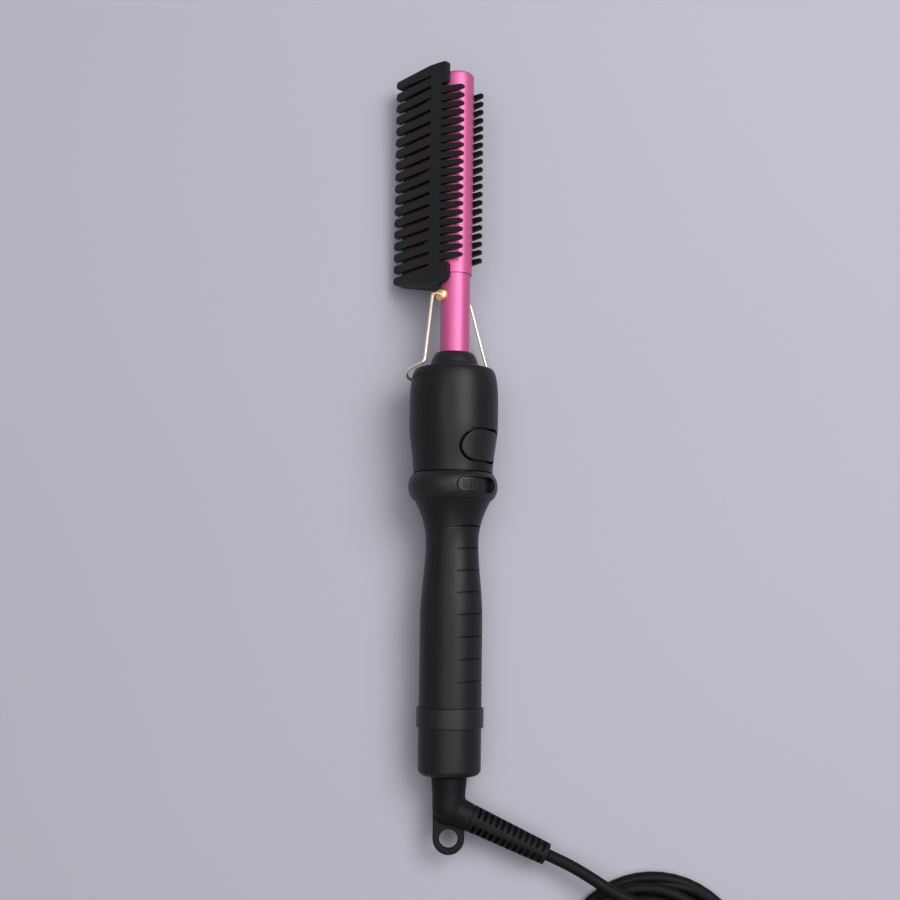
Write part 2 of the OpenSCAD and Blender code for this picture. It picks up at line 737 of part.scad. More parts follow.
module power_cord() {
    color(black) swept_cord(smooth_route(lead_route, 2), cord_r, cord_sides);
}
module cord_tail() {
    color(black) swept_cord(smooth_route(tail_route, 2), cord_r, cord_sides);
}
module cord_coil() {
    outer = coil_inner + (low_turns - 1) * 2 * cord_r + cord_r;
    inner = coil_inner - cord_r;
    top = 2 * cord_r + layer_rise;
    color(black) translate([coil_x, coil_y, 0]) rotate_extrude() polygon([
        [inner, 0.6], [inner + 0.6, 0], [outer - 0.6, 0], [outer, 0.6], [outer, 2 * cord_r - 0.8],
        [outer - cord_r, top - 0.6], [outer - cord_r - 0.6, top], [inner + cord_r + 0.6, top],
        [inner + cord_r, top - 0.6], [inner, 2 * cord_r - 0.8]
    ]);
}

// Plug: a flat two-blade mains plug that lies beside the wound cord
plug_turn = 156;
boot_len = 12;
module plug_place() {
    translate(tail_route[len(tail_route) - 1]) rotate([0, 0, plug_turn]) rotate([0, 90, 0])
        translate([0, 0, boot_len]) children();
}
module plug_body() {
    color(black) plug_place() {
        intersection() {
            translate([-5.6, -10.5, 0]) cube([11.2, 21, 24]);
            translate([0, 0, -1]) cylinder(r = 11.2, h = 26);
        }
        translate([0, 0, -boot_len]) cylinder(r1 = 3.6, r2 = 5.4, h = boot_len + 0.05);
    }
}
module plug_blades() {
    color("silver") plug_place() for (side = [-1, 1])
        translate([-3.15, side * 6.35 - 0.75, 24.02]) difference() {
            cube([6.3, 1.5, 16.5]);
            translate([3.15, -1, 12.5]) rotate([-90, 0, 0]) cylinder(r = 1.6, h = 4);
        }
}

heating_barrel();
barrel_tip_plug();
neck_tube();
front_comb_guard();
rear_comb_guard();
guard_rivets();
stand_bosses();
wire_stand();
lip_ring();
upper_shell();
lower_shell();
collar_ring();
clamp_ring();
shell_screws();
neck_bush();
bush_screws();
power_button();
tact_switch();
tact_plunger();
selector_knob();
selector_switch();
circuit_board();
board_relay();
heater_element();
heater_wedge();
temperature_sensor();
thermal_fuse();
heater_leads();
mains_leads();
swivel_core();
slip_rings();
contact_springs();
swivel_boot();
strain_relief();
power_cord();
cord_coil();
cord_tail();
plug_body();
plug_blades();
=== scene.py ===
import json
import math

import bmesh
import bpy
from mathutils import Matrix, Vector


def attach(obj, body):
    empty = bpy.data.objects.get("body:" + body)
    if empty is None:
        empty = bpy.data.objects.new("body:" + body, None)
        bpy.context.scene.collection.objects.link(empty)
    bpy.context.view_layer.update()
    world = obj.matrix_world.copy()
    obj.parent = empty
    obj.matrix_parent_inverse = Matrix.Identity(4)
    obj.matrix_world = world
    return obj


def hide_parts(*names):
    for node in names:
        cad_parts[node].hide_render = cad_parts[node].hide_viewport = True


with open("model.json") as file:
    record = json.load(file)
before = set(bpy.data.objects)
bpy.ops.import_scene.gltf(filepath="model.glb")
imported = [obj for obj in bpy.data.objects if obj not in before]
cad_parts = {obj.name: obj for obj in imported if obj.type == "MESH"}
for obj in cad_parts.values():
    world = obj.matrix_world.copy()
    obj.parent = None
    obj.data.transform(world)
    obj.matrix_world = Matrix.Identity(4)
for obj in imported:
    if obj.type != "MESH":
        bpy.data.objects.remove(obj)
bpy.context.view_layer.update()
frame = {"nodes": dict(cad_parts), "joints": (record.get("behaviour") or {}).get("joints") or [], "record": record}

# ---------------------------------------------------------------- camera
# It hangs above the table and looks down at the middle of the tool, leaning a little
# towards the cord end. The cord's winding is cut off by the edge of its view.
MM = 0.001  # lengths below are in millimetres, unless a line says otherwise
joint = {j["name"]: j for j in frame["joints"]}
tool_foot = Vector(joint["cord_swivel_turn"]["pos_m"])  # in the middle of the handle's end
tool_z = -Vector(joint["cord_swivel_turn"]["axis"])  # from the cord end to the barrel tip
FOCAL_MM = 53.6
SENSOR_MM = 36
DISTANCE = 0.549  # from the point that it looks at, in metres
LEAN = math.asin(tool_z.z) + math.radians(6.5)
ROLL = math.radians(0.75)
AIM_ASIDE, AIM_ALONG = -1.35, 130.41  # that point, in mm from the handle's end
look_at = tool_foot + Vector((AIM_ASIDE * MM, 0, 0)) + AIM_ALONG * MM * tool_z
forward = Vector((0, math.sin(LEAN), -math.cos(LEAN)))
level_up = Vector((0, math.cos(LEAN), math.sin(LEAN)))
right = Vector((1, 0, 0)) * math.cos(ROLL) + level_up * math.sin(ROLL)
up = right.cross(forward)
camera = bpy.data.objects.new("camera", bpy.data.cameras.new("camera"))
camera.data.lens = FOCAL_MM
camera.data.sensor_width = SENSOR_MM
camera.data.clip_start = 0.01
bpy.context.scene.collection.objects.link(camera)
camera_turn = Matrix((right, up, -forward)).transposed().to_4x4()
camera.matrix_world = Matrix.Translation(look_at - DISTANCE * forward) @ camera_turn
bpy.context.scene.camera = camera


# ---------------------------------------------------------------- mains cord
# A round two-core cord in black PVC, 4.7 mm thick and 1.8 m long. It leaves the strain
# relief, climbs on to its own winding and joins the upper layer, which winds inwards; the
# lower layer winds outwards again, and a short tail runs along the floor to the plug.
CORD_R = 2.35
COIL_X, COIL_Y = 75.6, -207.4
INNER_TURN = 19  # radius of the innermost turn
LOWER_TURNS, UPPER_TURNS = 5, 4
LAYER_RISE = 2 * CORD_R * 0.87  # the upper layer lies in the furrows of the lower one
lead_route = [
    (32, -160.2, 9.9), (37, -162.4, 9.8), (42.7, -165.1, 10.1), (48, -168, 10.8),
    (53, -171, 11.3), (58.5, -174.2, 11.4), (64.3, -176.9, 11.3), (70.4, -178.9, 11.1),
    (76.6, -180.2, 11), (82.6, -181.3, 10.8), (88.6, -183.3, 10.7), (94.2, -186.4, 10.6),
    (99.1, -190.4, 10.8), (103.4, -195, 11.1), (106.8, -200.8, 11), (109, -207.4, 10.2),
    (109.7, -213.4, 8.4), (108.9, -219.5, 6.9),
]
tail_route = [
    (61.6, -245.4, 2.4), (54.6, -245.2, 2.8), (47.6, -244, 4), (41.1, -241.8, 5.2),
    (35.6, -239.4, 5.6),
]
tail_lift_off = (68.6, -245.3, CORD_R)  # where the tail leaves the winding


def smooth(points, steps):
    """A curve through the points, with some steps between each two."""
    pts = [Vector(p) for p in points]
    ends = [2 * pts[0] - pts[1], *pts, 2 * pts[-1] - pts[-2]]
    made = []
    for a, b, c, d in zip(ends, ends[1:], ends[2:], ends[3:]):
        for i in range(steps):
            t = i / steps
            bend = (2 * a - 5 * b + 4 * c - d) * t**2 + (3 * b - 3 * c + d - a) * t**3
            made.append(0.5 * (2 * b + (c - a) * t + bend))
    return [*made, pts[-1]]


def ease(t):
    """A smooth step from 0 to 1 while t goes from 0 to 1."""
    t = min(1, max(0, t))
    return t * t * (3 - 2 * t)


START_ANGLE = -20  # where the lead joins the upper layer, in degrees
STEP_FROM, STEP_TO = 140, 60  # a turn steps aside this far before it closes, in degrees
DROP_OVER, TAIL_AFTER = 72, 70  # on the way to the lower layer, and after the last whole turn
upper_end = 360 * UPPER_TURNS
lower_start = upper_end + DROP_OVER
tail_start = 360 * (UPPER_TURNS + LOWER_TURNS) + TAIL_AFTER


def steps_made(wound, first, last):
    """How many turns the winding has stepped aside by, of a run of turns."""
    share = 1 / (STEP_FROM - STEP_TO)
    return sum(ease((wound - 360 * n + STEP_FROM) * share) for n in range(first, last + 1))


def winding(wound):
    """The centre of the cord after it has been wound through an angle."""
    drop = ease((wound - upper_end) / (lower_start - upper_end))
    outermost = INNER_TURN + CORD_R * (2 * UPPER_TURNS - 1)
    upper_r = outermost - 2 * CORD_R * steps_made(wound, 1, UPPER_TURNS - 1)
    lower_r = INNER_TURN + 2 * CORD_R * steps_made(
        wound, UPPER_TURNS + 1, UPPER_TURNS + LOWER_TURNS - 1
    )
    radius = upper_r * (1 - drop) + lower_r * drop
    height = CORD_R + LAYER_RISE * (1 - drop)
    angle = math.radians(START_ANGLE - wound)
    return Vector((COIL_X + radius * math.cos(angle), COIL_Y + radius * math.sin(angle), height))


STEPS_A_TURN = 48
STEPS_A_SPAN = 4
BAR_SIDES = 14
wound = [winding(360 / STEPS_A_TURN * i) for i in range(2, int(tail_start * STEPS_A_TURN / 360))]
tail = smooth([wound[-1], tail_lift_off, *tail_route], STEPS_A_SPAN)[1:]
cord_path = [p * MM for p in (*smooth(lead_route, STEPS_A_SPAN), *wound, *tail)]


def finish_mesh(name, bm):
    """Turns built faces into a smooth piece of the scene."""
    bmesh.ops.recalc_face_normals(bm, faces=bm.faces)
    mesh = bpy.data.meshes.new(name)
    bm.to_mesh(mesh)
    bm.free()
    mesh.shade_smooth()
    made = bpy.data.objects.new(name, mesh)
    bpy.context.scene.collection.objects.link(made)
    return made


def skin(bm, rings):
    """Joins rings of points by faces and closes both ends."""
    loops = [[bm.verts.new(p) for p in ring] for ring in rings]
    for a, b in zip(loops, loops[1:]):
        for k in range(len(a)):
            bm.faces.new((a[k - 1], b[k - 1], b[k], a[k]))
    bm.faces.new(loops[0])
    bm.faces.new(loops[-1])


def round_bar(name, path, radius):
    """A round bar or cord along a path, which doesn't twist."""
    rings = []
    side = None
    for i, centre in enumerate(path):
        ahead = (path[min(i + 1, len(path) - 1)] - path[max(i - 1, 0)]).normalized()
        side = ahead.cross(Vector((0, 0, 1))) if side is None else side - side.dot(ahead) * ahead
        side.normalize()
        above = ahead.cross(side)
        turns = [2 * math.pi * k / BAR_SIDES for k in range(BAR_SIDES)]
        rings.append([centre + radius * (math.cos(a) * side + math.sin(a) * above) for a in turns])
    bm = bmesh.new()
    skin(bm, rings)
    return finish_mesh(name, bm)


def stands_for(piece, *nodes):
    """Puts a piece in the place of CAD nodes: on their body, with the nodes hidden."""
    for body, members in frame["record"]["behaviour"]["bodies"].items():
        if nodes[0] in members:
            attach(piece, body)
    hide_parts(*nodes)


class Signal:
    """One socket of a node tree that carries a value, with arithmetic on it."""

    def __init__(self, nodes, socket):
        self.nodes = nodes
        self.socket = socket

    def _math(self, operation, a, b):
        return self.nodes.node("ShaderNodeMath", {"operation": operation}, {0: a, 1: b})

    def __add__(self, other):
        return self._math("ADD", self, other)

    def __radd__(self, other):
        return self._math("ADD", other, self)

    def __mul__(self, other):
        return self._math("MULTIPLY", self, other)

    def __rmul__(self, other):
        return self._math("MULTIPLY", other, self)


class Nodes:
    """A node tree: node() adds any node, and feed() gives a socket its value or its link."""

    def __init__(self, tree):
        self.tree = tree

    def feed(self, socket, value):
        if isinstance(value, Signal):
            self.tree.links.new(value.socket, socket)
        elif hasattr(value, "__len__") and len(value) == 3 and socket.type == "RGBA":
            socket.default_value = (*value, 1)
        else:
            socket.default_value = value

    def node(self, kind, settings=None, sockets=None, output=0):
        made = self.tree.nodes.new(kind)
        for name, value in (settings or {}).items():
            setattr(made, name, value)
        for name, value in (sockets or {}).items():
            self.feed(made.inputs[name], value)
        return Signal(self, made.outputs[output])

    def shows(self, shader):
        """Makes a shader what the tree puts out."""
        ending = next(node for node in self.tree.nodes if node.type.startswith("OUTPUT"))
        self.feed(ending.inputs["Surface"], shader)


class Finish(Nodes):
    """A material: its methods make patterns, and surface() sets the shader's sockets."""

    def __init__(self, name):
        self.material = bpy.data.materials.new(name)
        self.material.use_nodes = True
        super().__init__(self.material.node_tree)
        self.shader = self.tree.nodes["Principled BSDF"]

    def place(self, stretch=(1, 1, 1)):
        """Where a point is on the piece, with one axis or another stretched."""
        where = self.node("ShaderNodeTexCoord", output="Object")
        return self.node("ShaderNodeMapping", None, {"Vector": where, "Scale": stretch})

    def noise(self, scale, detail=3, stretch=(1, 1, 1)):
        sockets = {"Vector": self.place(stretch), "Scale": scale, "Detail": detail}
        return self.node("ShaderNodeTexNoise", None, sockets, "Fac")

    def band(self, value, low, high):
        """A smooth step from 0 to 1 while the value goes from low to high."""
        sockets = {"Value": value, "From Min": low, "From Max": high}
        return self.node("ShaderNodeMapRange", {"interpolation_type": "SMOOTHSTEP"}, sockets)

    def mix(self, share, first, second):
        sockets = {"Factor": share, "A": first, "B": second}
        return self.node("ShaderNodeMix", {"data_type": "RGBA"}, sockets, "Result")

    def bump(self, height, depth):
        return self.node("ShaderNodeBump", None, {"Height": height, "Distance": depth})

    def surface(self, **sockets):
        for name, value in sockets.items():
            label = name.replace("_", " ").title().replace("Ior", "IOR")
            self.feed(self.shader.inputs[label], value)
        return self.material


def wear(piece, material):
    """Gives a piece, or a CAD node by its name, one material all over."""
    target = frame["nodes"][piece] if isinstance(piece, str) else piece
    target.data.materials.clear()
    target.data.materials.append(material)


GRAIN = 0.00002  # depth of a fine moulded grain, in metres
sheath = Finish("cord_sheath")
sheath_grain = sheath.noise(900)
sheath_scuff = sheath.band(sheath.noise(60, 2), 0.3, 0.7)
sheath.surface(
    base_color=sheath.mix(sheath_grain, (0.003, 0.003, 0.0034), (0.006, 0.006, 0.0066)),
    roughness=0.48 + 0.10 * sheath_scuff,
    normal=sheath.bump(sheath_grain, GRAIN),
    specular_ior_level=0.1,
)
power_cord = round_bar("power_cord_whole", cord_path, CORD_R * MM)
wear(power_cord, sheath.material)
stands_for(power_cord, "power_cord", "cord_coil", "cord_tail")

# ---------------------------------------------------------------- plug
# A flat two-blade plug moulded on to the cord in soft PVC, with a ringed boot, three finger
# grooves on each side and nickel-plated blades.
PLUG_TURN = math.radians(156)  # which way it points on the floor, from +X
BOOT_LEN, BODY_LEN = 12, 24
BOOT_R1, BOOT_R2 = 3.6, 5.4
RING_PITCH, RING_DEPTH = 2.4, 0.55
BODY_HALF_W, BODY_HALF_H = 10.4, 5.55
SHOULDER_LEN, END_LEN, END_ROUND = 6, 1.2, 0.9
GROOVES, GROOVE_HALF_W, GROOVE_DEPTH = (9, 12.5, 16), 0.7, 0.8
BODY_SQUARENESS = 1.6  # added to the power 2 of a round outline
PLUG_STEP, PLUG_POINTS = 0.3, 48
plug_from = Vector(tail_route[-1])
plug_ahead = Vector((math.cos(PLUG_TURN), math.sin(PLUG_TURN), 0))
plug_side = Vector((-math.sin(PLUG_TURN), math.cos(PLUG_TURN), 0))


def plug_section(along):
    """Half the width and half the height of the plug, and how square it is, at a station."""
    if along < BOOT_LEN:
        taper = BOOT_R1 + (BOOT_R2 - BOOT_R1) * along / BOOT_LEN
        ring = max(0, math.sin(2 * math.pi * along / RING_PITCH)) ** 0.5 if along > 1 else 0
        return taper - RING_DEPTH * ring, taper - RING_DEPTH * ring, 2
    past_boot = along - BOOT_LEN
    spread = ease(past_boot / SHOULDER_LEN)
    near_end = max(0, (past_boot - BODY_LEN + END_LEN) / END_LEN)
    end_round = END_ROUND * (1 - math.sqrt(1 - near_end**2))
    groove = sum(math.exp(-(((past_boot - s) / GROOVE_HALF_W) ** 2)) for s in GROOVES)
    half_w = BOOT_R2 + (BODY_HALF_W - BOOT_R2) * spread - GROOVE_DEPTH * groove - end_round
    half_h = BOOT_R2 + (BODY_HALF_H - BOOT_R2) * spread - end_round
    return half_w, half_h, 2 + BODY_SQUARENESS * spread


def plug_ring(along):
    """The plug's outline across its length at a station, as a rounded square of that power."""
    half_w, half_h, power = plug_section(along)
    centre = plug_from + along * plug_ahead
    ring = []
    for k in range(PLUG_POINTS):
        c, s = math.cos(2 * math.pi * k / PLUG_POINTS), math.sin(2 * math.pi * k / PLUG_POINTS)
        wide = half_w * math.copysign(abs(c) ** (2 / power), c)
        high = half_h * math.copysign(abs(s) ** (2 / power), s)
        ring.append((centre + wide * plug_side + Vector((0, 0, high))) * MM)
    return ring


plug_mesh = bmesh.new()
plug_steps = int((BOOT_LEN + BODY_LEN) / PLUG_STEP) + 1
skin(plug_mesh, [plug_ring(PLUG_STEP * i) for i in range(plug_steps)])
plug = finish_mesh("moulded_plug", plug_mesh)
wear(plug, sheath.material)
stands_for(plug, "plug_body")


def plain_finish(name, dark, light, grain, roughness, **sockets):
    """A moulded, plated or fired finish: two near tones, a fine grain, a little unevenness."""
    made = Finish(name)
    fine = made.noise(grain)
    patch = made.band(made.noise(grain / 20, 2), 0.3, 0.7)
    return made.surface(
        base_color=made.mix(fine, dark, light),
        roughness=roughness + 0.1 * patch,
        normal=made.bump(fine, GRAIN),
        **sockets,
    )


nickel = plain_finish(
    "nickel_plate", (0.55, 0.54, 0.51), (0.66, 0.65, 0.62), 500, 0.16, metallic=1
)
wear("plug_blades", nickel)

# ---------------------------------------------------------------- floor
# A sheet of pale grey-lavender paper, matt, that everything lies on. Far from the tool it
# fades into the pale haze that closes the view.
FLOOR_SIDE = 6  # in metres
HAZE = (0.46, 0.46, 0.53)
HAZE_FROM, HAZE_FULL = 0.32, 0.9  # how far from the tool, in metres


def looked_at(nodes):
    """1 where the camera looks straight on to a surface, or by way of metal or glass."""
    rays = ("Is Camera Ray", "Is Glossy Ray", "Is Transmission Ray")
    return sum(nodes.node("ShaderNodeLightPath", output=ray) for ray in rays)


paper = Finish("floor_paper")
paper_tone = paper.noise(3, 2)
paper_fibre = paper.noise(1400, 2)
paper.surface(
    base_color=paper.mix(paper_tone, (0.40, 0.40, 0.462), (0.43, 0.43, 0.495)),
    roughness=0.9,
    normal=paper.bump(paper_fibre, GRAIN),
    specular_ior_level=0.2,
)
away = paper.node("ShaderNodeVectorMath", {"operation": "LENGTH"}, {0: paper.place()}, "Value")
in_haze = paper.band(away, HAZE_FROM, HAZE_FULL) * looked_at(paper)
bare_paper = Signal(paper, paper.shader.outputs["BSDF"])
haze = paper.node("ShaderNodeEmission", None, {"Color": HAZE})
paper.shows(paper.node("ShaderNodeMixShader", None, {0: in_haze, 1: bare_paper, 2: haze}))
floor_mesh = bmesh.new()
bmesh.ops.create_grid(floor_mesh, x_segments=1, y_segments=1, size=FLOOR_SIDE / 2)
floor = finish_mesh("floor", floor_mesh)
wear(floor, paper.material)


# ---------------------------------------------------------------- light
# A wide soft lamp overhead, a smaller one at the upper right, and a weak even sky. The
# same haze as the floor's closes the view behind it.
def lamp(name, place, side, power):
    """A square area lamp that points at the tool."""
    data = bpy.data.lights.new(name, "AREA")
    data.shape = "SQUARE"
    data.size = side
    data.energy = power
    made = bpy.data.objects.new(name, data)
    bpy.context.scene.collection.objects.link(made)
    made.location = place
    made.rotation_euler = (-made.location).to_track_quat("-Z", "Y").to_euler()


lamp("top_lamp", place=(0.1, 0.05, 1.3), side=1.8, power=17)
lamp("side_lamp", place=(0.65, 0.4, 1.15), side=0.8, power=12)
sky = bpy.data.worlds.new("sky")
sky.use_nodes = True
bpy.context.scene.world = sky
sky_nodes = Nodes(sky.node_tree)
glow = sky_nodes.node("ShaderNodeBackground", None, {"Color": (0.95, 0.97, 1), "Strength": 0.08})
backdrop = sky_nodes.node("ShaderNodeBackground", None, {"Color": HAZE})
choice = {0: looked_at(sky_nodes), 1: glow, 2: backdrop}
sky_nodes.shows(sky_nodes.node("ShaderNodeMixShader", None, choice))
bpy.context.scene.view_settings.view_transform = "Standard"


# ---------------------------------------------------------------- handle shells
# Two moulded nylon shells with a matt soft-touch paint, screwed together from the lower
# side. Grip grooves are cut across the upper one, and all edges are a little rounded.
def copy_of(node, name):
    """A new piece that starts with the shape of a CAD node."""
    made = bpy.data.objects.new(name, frame["nodes"][node].data.copy())
    bpy.context.scene.collection.objects.link(made)
    return made


def applied(piece):
    """The piece with its modifiers made part of its mesh."""
    bpy.context.view_layer.update()
    as_seen = piece.evaluated_get(bpy.context.evaluated_depsgraph_get())
    shaped = bpy.data.meshes.new_from_object(as_seen)
    piece.modifiers.clear()
    piece.data = shaped
    return piece


FLAT = math.radians(0.5)  # faces that differ by less are one flat face
SHARP = math.radians(28)  # edges that turn by more are rounded
LARGE_FACES_LEAD = 60  # how much large faces count for more in the shading


def soften(node, material, edge, segments=2, cutter=None, clamped=True, weld=0.06):
    """Shows a CAD node in a material, cut by a cutter if any, with its sharp edges rounded."""
    made = copy_of(node, node + "_softened")
    bm = bmesh.new()
    bm.from_mesh(made.data)
    bmesh.ops.remove_doubles(bm, verts=bm.verts, dist=weld * MM)
    bmesh.ops.dissolve_limit(bm, angle_limit=FLAT, verts=bm.verts, edges=bm.edges)
    bm.to_mesh(made.data)
    bm.free()
    made.data.shade_smooth()
    if cutter:
        made.modifiers.new("cutting", "BOOLEAN").object = cutter
    rounding = made.modifiers.new("rounding", "BEVEL")
    rounding.width = edge * MM
    rounding.segments = segments
    rounding.use_clamp_overlap = clamped
    rounding.limit_method = "ANGLE"
    rounding.angle_limit = SHARP
    made.modifiers.new("weighing", "WEIGHTED_NORMAL").weight = LARGE_FACES_LEAD
    wear(applied(made), material)
    stands_for(made, node)


soft_touch = Finish("soft_touch_paint")
soft_grain = soft_touch.noise(2600, 2)
soft_rub = soft_touch.band(soft_touch.noise(38, 4), 0.35, 0.7)
soft_touch_paint = soft_touch.surface(
    base_color=soft_touch.mix(soft_rub, (0.003, 0.0032, 0.0036), (0.005, 0.0052, 0.0062)),
    roughness=0.40 + 0.05 * soft_rub,
    normal=soft_touch.bump(soft_grain, GRAIN),
    specular_ior_level=0.23,
)
soften("upper_shell", soft_touch_paint, edge=0.08, clamped=False)
soften("lower_shell", soft_touch_paint, edge=0.08, clamped=False, weld=0.03)

# ---------------------------------------------------------------- shell screws
# Four zinc-plated steel screws, sunk in the lower shell. Each head has a pressed cross
# recess for the driver.
SCREW_PLACES = ((0, 44), (0, 99), (-9.4, 142.8), (9.4, 142.8))  # across, and along the tool
HEAD_X = -5.6  # the faces of the heads, below the plane where the shells meet
RECESS_DEPTH = 0.9
tool_y = Vector(joint["wire_stand_fold"]["axis"])
tool_x = tool_y.cross(tool_z)


def at(x, y, z):
    """A point of the tool: x towards the power button, y across, z towards the barrel tip."""
    return tool_foot + (x * tool_x + y * tool_y + z * tool_z) * MM


def cross_outline(x, across, station, arm, half):
    """The outline of a cross recess, in a plane across the screw."""
    quarter = ((arm, -half), (arm, half), (half, half))
    turns = ((1, 0), (0, 1), (-1, 0), (0, -1))
    return [
        at(x, across + c * y - s * z, station + s * y + c * z)
        for c, s in turns
        for y, z in quarter
    ]


recess_mesh = bmesh.new()
for across, station in SCREW_PLACES:
    mouth = cross_outline(HEAD_X - 0.3, across, station, arm=1.4, half=0.36)
    bottom = cross_outline(HEAD_X + RECESS_DEPTH, across, station, arm=0.8, half=0.2)
    skin(recess_mesh, [mouth, bottom])
recesses = finish_mesh("cross_recesses", recess_mesh)
zinc = plain_finish("zinc_plate", (0.42, 0.42, 0.43), (0.56, 0.56, 0.57), 600, 0.30, metallic=1)
soften("shell_screws", zinc, edge=0.12, cutter=recesses)
bpy.data.objects.remove(recesses)

# ---------------------------------------------------------------- collar, clamp ring and lip
# Rings moulded in black ABS with a satin gloss, left unpainted. The collar has the heat
# selector's slot, and the clamp ring holds the shells together at the cord end.
trim = Finish("satin_trim")
trim_flow = trim.noise(55)
black_abs = trim.surface(
    base_color=trim.mix(trim_flow, (0.004, 0.004, 0.0045), (0.007, 0.007, 0.008)),
    roughness=0.36 + 0.08 * trim_flow,
    normal=trim.bump(trim.noise(1800, 2), GRAIN),
    specular_ior_level=0.28,
)
for ring in ("collar_ring", "clamp_ring", "lip_ring"):
    soften(ring, black_abs, edge=0.3)

# ---------------------------------------------------------------- power button
# A rounded bar of the same black ABS, which sinks into the housing. Under it a small
# switch with an ivory plunger stands on the board.
soften("power_button", black_abs, edge=0.5, segments=3)
switch_black = plain_finish(
    "switch_case", (0.014, 0.014, 0.016), (0.022, 0.022, 0.024), 1200, 0.40
)
ivory = plain_finish("switch_plunger", (0.70, 0.66, 0.54), (0.80, 0.77, 0.66), 1200, 0.42)
wear("tact_switch", switch_black)
wear("tact_plunger", ivory)

# ---------------------------------------------------------------- heat selector
# A ribbed pad on a curved shutter, which slides in the collar's slot and keeps it closed.
# Its stem moves the wiper of a curved switch inside.
soften("selector_knob", black_abs, edge=0.2)
wear("selector_switch", switch_black)

# ---------------------------------------------------------------- barrel and neck
# Extruded aluminium, drawn fine along its length and anodised pink. The barrel's fin is
# milled into teeth, and a turned plug closes its tip.
anodised = Finish("pink_anodised")
drawn_lines = anodised.noise(4000, 2, (1, 0.02, 1))
handling = anodised.band(anodised.noise(45, 3), 0.35, 0.75)
pink_aluminium = anodised.surface(
    base_color=anodised.mix(drawn_lines, (0.50, 0.075, 0.22), (0.58, 0.10, 0.275)),
    metallic=0.55,
    roughness=0.44 + 0.08 * drawn_lines + 0.05 * handling,
    normal=anodised.bump(drawn_lines, GRAIN / 2),
    coat_weight=0.5,
    coat_roughness=0.34,
)
soften("heating_barrel", pink_aluminium, edge=0.25)
soften("barrel_tip_plug", pink_aluminium, edge=0.15)
soften("neck_tube", pink_aluminium, edge=0.2)

# ---------------------------------------------------------------- comb guards
# Two moulded halves in black heat-proof nylon, riveted through the barrel's fin with
# three steel rivets.
nylon = Finish("guard_nylon")
nylon_fibre = nylon.noise(700)
black_nylon = nylon.surface(
    base_color=nylon.mix(nylon_fibre, (0.005, 0.0045, 0.005), (0.009, 0.0085, 0.009)),
    roughness=0.44 + 0.08 * nylon_fibre,
    normal=nylon.bump(nylon_fibre, GRAIN),
    specular_ior_level=0.24,
)
for guard in ("front_comb_guard", "rear_comb_guard"):
    soften(guard, black_nylon, edge=0.45, segments=3)
wear("guard_rivets", zinc)

# ---------------------------------------------------------------- wire stand
# One length of bright brass wire, 1.3 mm thick: two legs that hinge in turned brass
# bosses on the neck, and a bow that the hot end rests on.
WIRE_R = 0.65
PIVOT_X, PIVOT_Z = -2, 194.4
PIN_END_Y, ARM_Y = 5, 12.15  # the wire's end in a boss, and its arm beside the neck
BOW_X, BOW_R, LEG_END_Z = 1.6, 21.1, 164
BOW_LEAN = math.radians(10)  # towards the handle
BOW_STEPS = 30
WIRE_BEND = 2.2


def rounded(points, bend, steps=6):
    """A path with its inner corners rounded off."""
    pts = [Vector(p) for p in points]
    made = [pts[0]]
    for a, b, c in zip(pts, pts[1:], pts[2:]):
        enter = b + min(bend, (a - b).length / 2) * (a - b).normalized()
        leave = b + min(bend, (c - b).length / 2) * (c - b).normalized()
        for i in range(steps + 1):
            t = i / steps
            made.append((1 - t) ** 2 * enter + 2 * t * (1 - t) * b + t * t * leave)
    return [*made, pts[-1]]


def bow_point(degrees):
    """A point of the bow, from the end of one leg round to the other."""
    out = BOW_R * math.sin(math.radians(degrees))
    across = BOW_R * math.cos(math.radians(degrees))
    return Vector((BOW_X - out * math.cos(BOW_LEAN), across, LEG_END_Z - out * math.sin(BOW_LEAN)))


brass = Finish("brass_wire")
tarnish = brass.band(brass.noise(70, 2), 0.35, 0.75)
brass.surface(
    base_color=brass.mix(tarnish, (0.96, 0.85, 0.67), (0.88, 0.73, 0.50)),
    metallic=1,
    roughness=0.30 + 0.06 * tarnish,
)
turned_brass = plain_finish(
    "turned_brass", (0.90, 0.64, 0.31), (0.82, 0.55, 0.25), 500, 0.26, metallic=1
)
bow = [bow_point(180 / BOW_STEPS * i) for i in range(BOW_STEPS + 1)]
first_leg, second_leg = (
    [(PIVOT_X, side * PIN_END_Y, PIVOT_Z), (PIVOT_X, side * ARM_Y, PIVOT_Z)] for side in (1, -1)
)
bent = rounded([*first_leg, bow[0], bow[1]], WIRE_BEND)[:-1] + bow[2:-2]
bent += rounded([bow[-2], bow[-1], *reversed(second_leg)], WIRE_BEND)[1:]
stand = round_bar("wire_stand_bent", [at(*p) for p in bent], WIRE_R * MM)
wear(stand, brass.material)
stands_for(stand, "wire_stand")
soften("stand_bosses", turned_brass, edge=0.2)

# ---------------------------------------------------------------- swivel boot and strain relief
# Both are moulded in soft black PVC: a neck that turns in the handle's end, an elbow that
# runs smoothly into the arm, a flat hanging tab, and a tapered relief with small windows.
VOXEL = 0.35
ELBOW_ASIDE, ELBOW_BELOW, ELBOW_REACH = 7.2, 9, 8  # the ball that is smoothed most
pvc = Finish("soft_pvc")
pvc_grain = pvc.noise(1500)
soft_pvc = pvc.surface(
    base_color=pvc.mix(pvc_grain, (0.003, 0.003, 0.0034), (0.006, 0.006, 0.0066)),
    roughness=0.48 + 0.08 * pvc.noise(70, 2),
    normal=pvc.bump(pvc_grain, GRAIN),
    specular_ior_level=0.12,
)
boot = copy_of("swivel_boot", "swivel_boot_moulded")
fusing = boot.modifiers.new("fusing", "REMESH")
fusing.mode = "VOXEL"
fusing.voxel_size = VOXEL * MM
applied(boot)
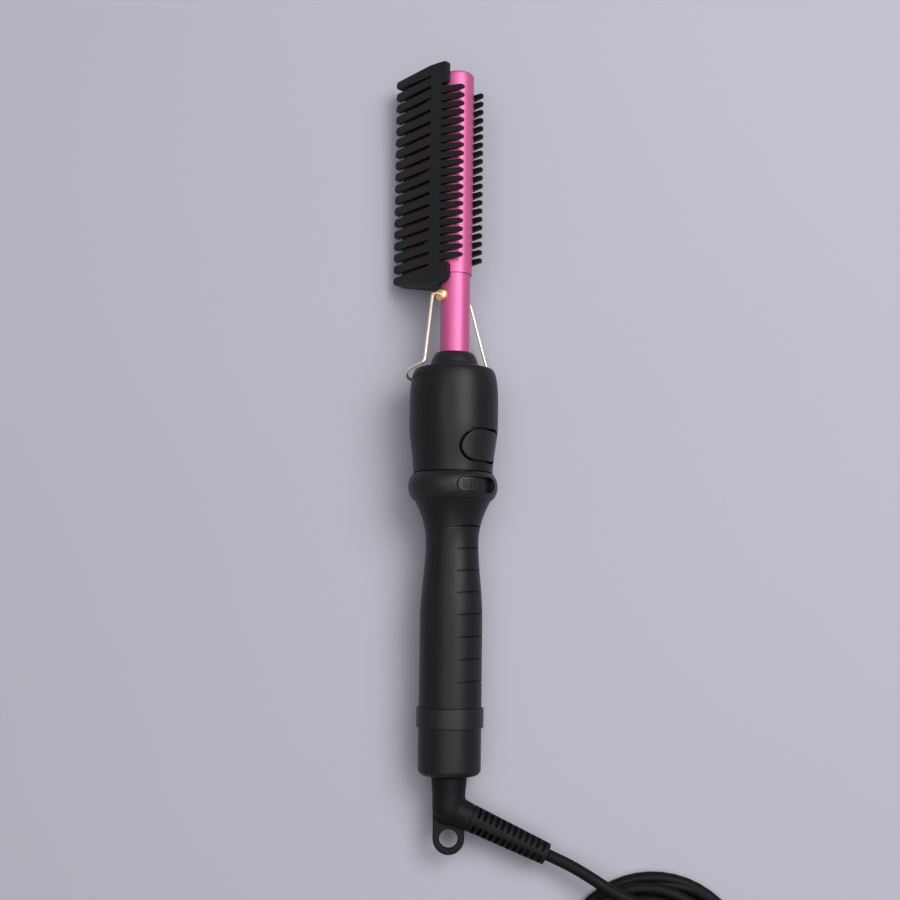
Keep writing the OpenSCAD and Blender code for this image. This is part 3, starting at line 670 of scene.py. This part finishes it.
elbow_inside = tool_foot + Vector((ELBOW_ASIDE, 0, 0)) * MM - ELBOW_BELOW * MM * tool_z
elbow = boot.vertex_groups.new(name="elbow")
for vertex in boot.data.vertices:
    near = 1 - (vertex.co - elbow_inside).length / (ELBOW_REACH * MM)
    elbow.add([vertex.index], ease(2 * near), "REPLACE")
for region, rounds in (("elbow", 30), ("", 3)):
    easing = boot.modifiers.new("easing", "SMOOTH")
    easing.vertex_group = region
    easing.iterations = rounds
applied(boot)
boot.data.shade_smooth()
wear(boot, soft_pvc)
stands_for(boot, "swivel_boot")
soften("strain_relief", soft_pvc, edge=0.15)

# ---------------------------------------------------------------- swivel and slip rings
# A grey moulded core turns with the boot and carries two copper rings. Springs of copper
# alloy press on the rings and take the mains current to the brown leads.
core_grey = plain_finish("swivel_plastic", (0.24, 0.245, 0.26), (0.30, 0.305, 0.32), 900, 0.42)
copper = plain_finish(
    "copper_alloy", (0.62, 0.30, 0.15), (0.76, 0.42, 0.24), 700, 0.24, metallic=1
)
lead_brown = plain_finish("lead_insulation", (0.16, 0.055, 0.03), (0.22, 0.08, 0.045), 800, 0.45)
wear("swivel_core", core_grey)
for contact in ("slip_rings", "contact_springs"):
    wear(contact, copper)
wear("mains_leads", lead_brown)

# ---------------------------------------------------------------- board
# A glass-fibre board with green solder mask, drilled for four fixing pins. The blue relay
# and capacitor are soldered to its lower side.
mask_green = plain_finish(
    "solder_mask", (0.015, 0.11, 0.045), (0.03, 0.17, 0.07), 1600, 0.30, coat_weight=0.3
)
relay_blue = plain_finish("relay_case", (0.02, 0.075, 0.17), (0.03, 0.10, 0.22), 900, 0.36)
wear("circuit_board", mask_green)
wear("board_relay", relay_blue)

# ---------------------------------------------------------------- neck bush
# Turned from pale glass-filled nylon, it keeps the neck's heat off the shells. Two small
# steel screws hold the neck in it.
bush_nylon = plain_finish("glass_filled_nylon", (0.60, 0.56, 0.46), (0.70, 0.67, 0.57), 700, 0.50)
wear("neck_bush", bush_nylon)
wear("bush_screws", zinc)

# ---------------------------------------------------------------- heater
# A flat ceramic element that an aluminium wedge presses into the barrel, with its sensor,
# its thermal fuse and two leads in braided glass sleeves.
ceramic = plain_finish("fired_ceramic", (0.72, 0.70, 0.64), (0.84, 0.82, 0.77), 1000, 0.55)
milled = plain_finish(
    "milled_aluminium", (0.58, 0.585, 0.59), (0.72, 0.725, 0.73), 1200, 0.30, metallic=1
)
resin = plain_finish("sensor_resin", (0.34, 0.12, 0.025), (0.44, 0.17, 0.045), 900, 0.34)
tinned = plain_finish("tinned_case", (0.50, 0.50, 0.49), (0.62, 0.62, 0.61), 800, 0.28, metallic=1)
sleeve = plain_finish("glass_sleeve", (0.62, 0.61, 0.57), (0.78, 0.77, 0.73), 1500, 0.70)
for heater_part, finish in (
    ("heater_element", ceramic),
    ("heater_wedge", milled),
    ("temperature_sensor", resin),
    ("thermal_fuse", tinned),
    ("heater_leads", sleeve),
):
    wear(heater_part, finish)
